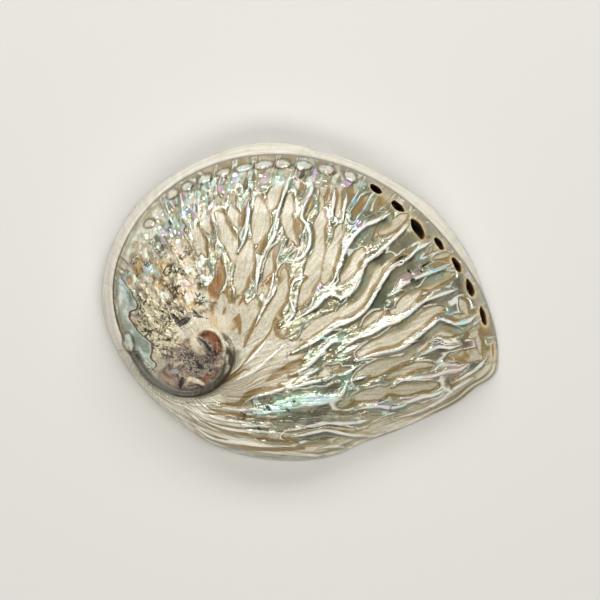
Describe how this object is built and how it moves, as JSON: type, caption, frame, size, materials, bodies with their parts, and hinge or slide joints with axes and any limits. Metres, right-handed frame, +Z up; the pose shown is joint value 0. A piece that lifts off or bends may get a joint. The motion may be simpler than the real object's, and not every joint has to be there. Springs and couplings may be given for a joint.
{
  "type": "abalone shell",
  "caption": "Polished abalone shell, a low ear-shaped dome with wavy folds, a small spire and a row of open holes, resting on its rim.",
  "frame": {"origin": "middle of the plan box on the plane that the rim rests on", "axes": "+X towards the growing end of the shell, +Y towards the row of holes, +Z up out of the dome"},
  "size_m": [0.1586, 0.1272, 0.0448],
  "materials": {
    "polished_shell": "polished mother-of-pearl with beige outer layer left in the hollows"
  },
  "bodies": {
    "root": {"shell": "polished_shell"}
  },
  "joints": []
}
